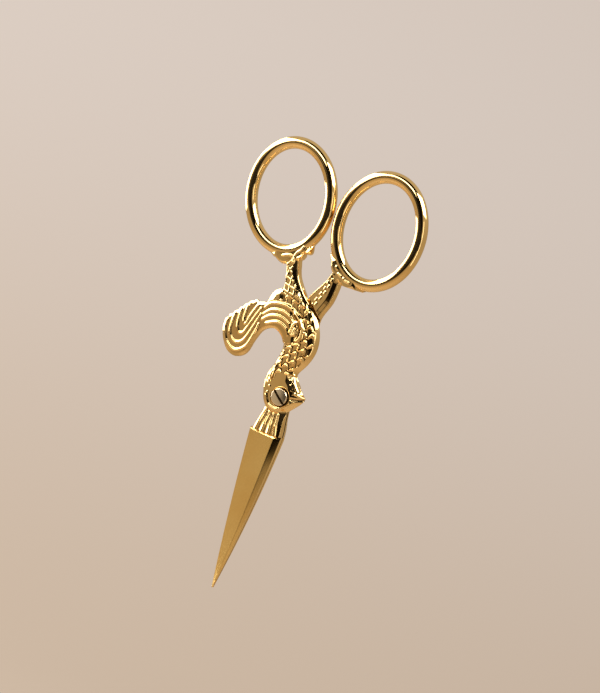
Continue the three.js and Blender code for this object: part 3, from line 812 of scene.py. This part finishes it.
def bird_face(x, z, figure, collar, spine, taper, crowns, tailed):
    """How far the forged outer face stands from the meeting plane, with the share of painted shade.

    The rolled edge rises from a side wall to a crown. On it lie the ridged tail, the scaled body and
    the strokes of the shank, then the head, whose cheek falls away to the right, and the collar."""
    edge = figure_depth(x, z, figure, tailed)
    tail, tail_lines, ridge = tail_relief(x, z, edge) if tailed else (np.zeros(x.shape),) * 3
    _, arc, offset = along_line(x, z, smooth_line(spine))
    crest = crest_height + crest_slope * x - crest_drop * smooth_step(-x, *crest_drop_side)
    crest += crest_wave * np.abs(np.sin(np.pi * (x + crest_wave_start) / crest_wave_length))
    head = smooth_step(crest - z, -crest_blend, crest_blend)
    body = (1 - tail) * (1 - head)
    brow = head * smooth_step(x, *brow_side)
    thin = np.clip((z - taper[0]) / (taper[1] - taper[0]), 0, 1)
    cheek = np.clip(np.hypot(x - head_middle[0], z - head_middle[1]) - head_disc, 0, cheek_reach)
    cheek *= smooth_step(x, *cheek_side)
    crown = np.interp(z, *np.transpose(crowns)) - head * (head_sink + right_fall * cheek)
    low = 1 - smooth_step(z, *low_blend)
    wall = body_wall + tail_wall * tail + low_wall * low - brow_wall * brow
    wall = wall * (1 - thin) + shank_wall * thin
    radius = (body_roll * (1 - thin) + shank_roll * thin) * (1 - tail) * (1 - low)
    radius += tail_roll * tail + low_roll * low + brow_roll * brow
    reach = (body_fall_reach * (1 - thin) + shank_fall_reach * thin) * body
    chamfer = chamfer_reach * (1 - thin) * body
    face = forged_section(edge, offset, crown, wall, radius, reach, chamfer) + tail_lines
    rim = smooth_step(edge, *scale_edge)
    hip = smooth_step(-x, *hip_left) * smooth_step(-z, *hip_top) * tailed
    nape = smooth_step(-x, *nape_right) * smooth_step(x, *nape_left) * smooth_step(-z, *nape_top)
    plain = body * (1 - nape * smooth_step(nape_width - edge, 0, nape_blend)) * (1 - hip)
    on_shank = smooth_step(z, *on_shank_blend)
    scales, crease_shade = feather_scales(arc, offset)
    border = (1 - smooth_step(edge, *plain_border)) * smooth_step(offset, *plain_side)
    scaled = plain * rim * (1 - on_shank) * (1 - border)
    face += scale_height * (scales - scale_level) * scaled
    face += shank_strokes(arc, offset, edge, tailed) * plain * on_shank
    face, gape = head_relief(x, z, face, edge, head, nape)
    # Painted shade in the scales' creases and lightly over the scaled body, and painted shade in the
    # mouth.
    grooves = np.maximum(crease_shade, scale_shade) * scaled + mouth_shade * gape
    # Painted shade on the tail's ground between the ridges.
    grooves += tail_shade * tail * rim * (1 - ridge)
    collar_edge = inside_depth(x, z, collar)
    collar_face, flutes = collar_relief(x, z, collar_edge)
    # Painted shade on the collar's ground between the ribs.
    grooves = np.where(edge > 0, grooves, flute_shade * (1 - flutes))
    face = np.where(edge > -rim_slack, face, lowest_face)
    face = np.maximum(face, np.where(collar_edge > -rim_slack, collar_face, lowest_face))
    return face, np.clip(grooves, 0, 1)


def meeting_face(x, z, figure, other, spine, root, crossed):
    """How far the half reaches through the meeting plane to the side of the other half.

    It lies just short of the plane with an eased edge, and swells into the full shank above the
    shank's root where it is clear of the other half's outline."""
    clear_of = smooth_step(-inside_depth(x, z, other), *clear_gap)
    clear_of *= smooth_step(z, root, root + swell_rise)
    edge = inside_depth(x, z, figure)
    _, arc, offset = along_line(x, z, smooth_line(spine))
    swell = forged_section(edge, offset, shank_crown, shank_wall, shank_roll, shank_fall_reach, 0)
    swell += shank_strokes(arc, offset, edge, crossed)
    eased = eased_depth * (1 - rolled_edge(edge, eased_width))
    return -(meeting_gap + eased) * (1 - clear_of) + swell * clear_of


def handle_depth(x, z, figure, collar, tailed):
    """Depth inside the figure or the collar and outside the screw's hole."""
    depth = np.maximum(figure_depth(x, z, figure, tailed), inside_depth(x, z, collar))
    return np.minimum(depth, np.hypot(x, z) - screw_hole)


for half, outline, other, spine, taper, crowns, root in (
        ("front", front_outline, rear_outline, front_spine, front_taper, front_crowns, shank_root),
        ("rear", rear_outline, front_outline, rear_spine, rear_taper, rear_crowns, rear_shank_foot)):
    tailed = half == "front"
    figure, collar = handle_loops(outline)
    other_figure = handle_loops(other)[0]
    all_x = np.vstack([figure, collar])[:, 0]
    low = (all_x.min() - sheet_margin, shoulder_height)
    high = (all_x.max() + sheet_margin, waist_height)
    x, z, whole, triangles = cut_sheet(low, high, forging_pitch, handle_depth, figure, collar, tailed)
    face, grooves = bird_face(x, z, figure, collar, spine, taper, crowns, tailed)
    inner = meeting_face(x, z, figure, other_figure, spine, root, tailed)
    if tailed:
        recess = smooth_step(np.hypot(x, z), screw_recess, screw_recess + recess_edge)
        face = np.minimum(face, recess_floor + (face - recess_floor) * recess)
        shell = closed_slab(x, -face, inner, z, whole, triangles)
        # Painted shade in the ring of the screw's recess.
        shares = np.maximum(grooves, 1 - recess)
    else:
        shell = closed_slab(x, -inner, face, z, whole, triangles)
        shares = np.concatenate([np.zeros(len(x)), grooves])
    handle = forged_piece(
        f"{half}_bird_handle", [shell], f"{half}_half", polished_gold, shares)
    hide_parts(f"{half}_handle")

# Blades
# Each blade is forged on with its handle, ground to a wide face, a ridge and a narrow face at the
# spine, and left satin under the gold plating. Their flat inner sides slide on each other.
blade_length, blade_left, blade_right = 37.08, 5.0, 2.9
blade_point_x, blade_point_width = -2.2, 0.3
blade_belly, edge_belly_share = 0.55, 0.5
blade_spine, blade_point_thickness, blade_back_share, blade_taper = 1.6, 0.35, 0.66, 2.2
blade_edge_top, blade_edge_point, blade_least, polish_end = 0.9, 0.06, 0.05, (2.5, 8.0)
ridge_inset, ridge_round, plunge, plunge_depth = 1.4, 0.06, (0.05, 0.75), 0.3
satin_bright, satin_deep = (0.965, 0.66, 0.235, 1.0), (0.925, 0.6, 0.195, 1.0)
satin_gold = metal_finish(
    "satin_gold", satin_bright, satin_deep, roughness=0.25, roughness_spread=0.03,
    grain_scale=(900.0, 900.0, 14000.0), grain_depth=0.0000006)


def blade_surface(spine_side, rows=260, columns=90):
    """Sections across the blade stacked from the shoulder to the point.

    The outer height is the lower of two slopes that meet at the ridge, rounded a little there.
    It sinks in a short bevel under the collar, where the grinding starts. Returns the shell and the
    share of polish, which lies on the narrow face near the collar."""
    s = np.linspace(0, 1, rows)[:, None]
    belly = blade_belly * 4 * s * (1 - s)
    point_left, point_right = blade_point_x - blade_point_width / 2, blade_point_x + blade_point_width / 2
    left = -blade_left + (point_left + blade_left) * s - belly * edge_belly_share
    right = blade_right + (point_right - blade_right) * s + belly
    width = right - left
    inset = ridge_inset * width / (blade_left + blade_right)
    ridge = inset / width
    u = np.linspace(0, 1, columns)[None, :]
    spine = blade_spine + (blade_point_thickness - blade_spine) * s ** blade_taper
    back = blade_back_share * spine
    edge = blade_edge_top + (blade_edge_point - blade_edge_top) * s
    steep = back + (spine - back) * u / ridge
    gentle = edge + (spine - edge) * (1 - u) / (1 - ridge)
    outer = 0.5 * (steep + gentle - np.sqrt((steep - gentle) ** 2 + ridge_round ** 2))
    outer = np.clip(outer, blade_least, None)
    bevel = 1 - smooth_step(s * blade_length, *plunge)
    outer -= plunge_depth * bevel * np.clip(outer / blade_spine, 0, 1)
    x = right - u * width if spine_side > 0 else left + u * width
    z = shoulder_height - s * blade_length + 0 * u
    y_outer = -spine_side * (meeting_gap + outer)
    polish = (1 - smooth_step(s * blade_length, *polish_end)) * (u < ridge)
    faces = grid_faces(rows, columns)
    shell = closed_slab(x, y_outer, -spine_side * meeting_gap, z, faces, np.zeros((0, 3), int))
    return shell, polish.ravel()


for half, spine_side in (("front", 1), ("rear", -1)):
    shell, polish = blade_surface(spine_side)
    blade = forged_piece(
        f"{half}_satin_blade", [shell], f"{half}_half", satin_gold, polish=polish)
    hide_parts(f"{half}_blade")

# Pivot screw
# A slotted screw with a domed head, turned from pale metal and sunk in the front bird's head as its
# eye. Its shank runs through the front half and is threaded into the rear one.
screw_head_radius, screw_head_under, screw_head_top, screw_dome = 1.9, 1.95, 2.665, 0.12
screw_rim_drop, screw_rim_roll, screw_margin, screw_pitch = 0.14, 0.16, 0.1, 0.04
screw_shank_radius, screw_end = 1.2, -2.3
screw_end_profile = ((0.0, 0.15), (0.04, 0.05), (0.15, 0.0))
slot_width, slot_depth, slot_turn, slot_edge = 0.46, 0.5, np.radians(-38.0), 0.03
screw_pale, screw_grey = (0.98, 0.84, 0.6, 1.0), (0.9, 0.75, 0.52, 1.0)
screw_metal = metal_finish(
    "screw_metal", screw_pale, screw_grey, roughness=0.22, roughness_spread=0.04,
    grain_scale=(5000.0, 5000.0, 5000.0), grain_depth=0.000001)


def head_depth(along, across):
    """Depth inside the screw head's round outline."""
    return screw_head_radius - np.hypot(along, across)


def screw_head():
    """A round slab with a domed face and the slot cut straight across, and the slot's painted shade."""
    reach = screw_head_radius + screw_margin
    along, across, whole, triangles = cut_sheet((-reach, -reach), (reach, reach), screw_pitch, head_depth)
    from_axis = np.clip(np.hypot(along, across) / screw_head_radius, 0, 1)
    depth = screw_head_top + screw_dome * (1 - from_axis ** 2)
    depth -= screw_rim_drop * (1 - rolled_edge(screw_head_radius * (1 - from_axis), screw_rim_roll))
    slot_floor = screw_head_top + screw_dome - slot_depth
    sunk = 1 - smooth_step(np.abs(across), slot_width / 2 - slot_edge, slot_width / 2 + slot_edge)
    depth += sunk * (np.minimum(slot_floor, depth) - depth)
    x = along * np.cos(slot_turn) - across * np.sin(slot_turn)
    z = along * np.sin(slot_turn) + across * np.cos(slot_turn)
    return closed_slab(x, -depth, -screw_head_under, z, whole, triangles), sunk


def screw_shank(steps=96):
    """A plain profile turned round the pivot axis, with an eased end, and a flat cap at both ends."""
    profile = np.array([(screw_shank_radius, screw_head_under)] + [
        (screw_shank_radius - inset, screw_end + rise) for inset, rise in screw_end_profile])
    count = len(profile) * steps
    angle = np.linspace(0, 2 * np.pi, steps, endpoint=False)[None, :]
    radius, depth = profile[:, :1], profile[:, 1:]
    points = np.stack([radius * np.cos(angle), -depth + 0 * angle, radius * np.sin(angle)], axis=-1)
    side = grid_faces(len(profile), steps, wrap_columns=True)[:, ::-1]
    caps = [np.arange(steps)[None], np.arange(count - steps, count)[None, ::-1]]
    return points.reshape(-1, 3), [side, *caps], np.zeros(count, bool)


head_shell, slot_shade_shares = screw_head()
# The slot's share goes in as painted shade in the slot.
screw = forged_piece("slotted_pivot_screw", [head_shell, screw_shank()],
                     "rear_half", screw_metal, slot_shade_shares)
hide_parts("pivot_screw")
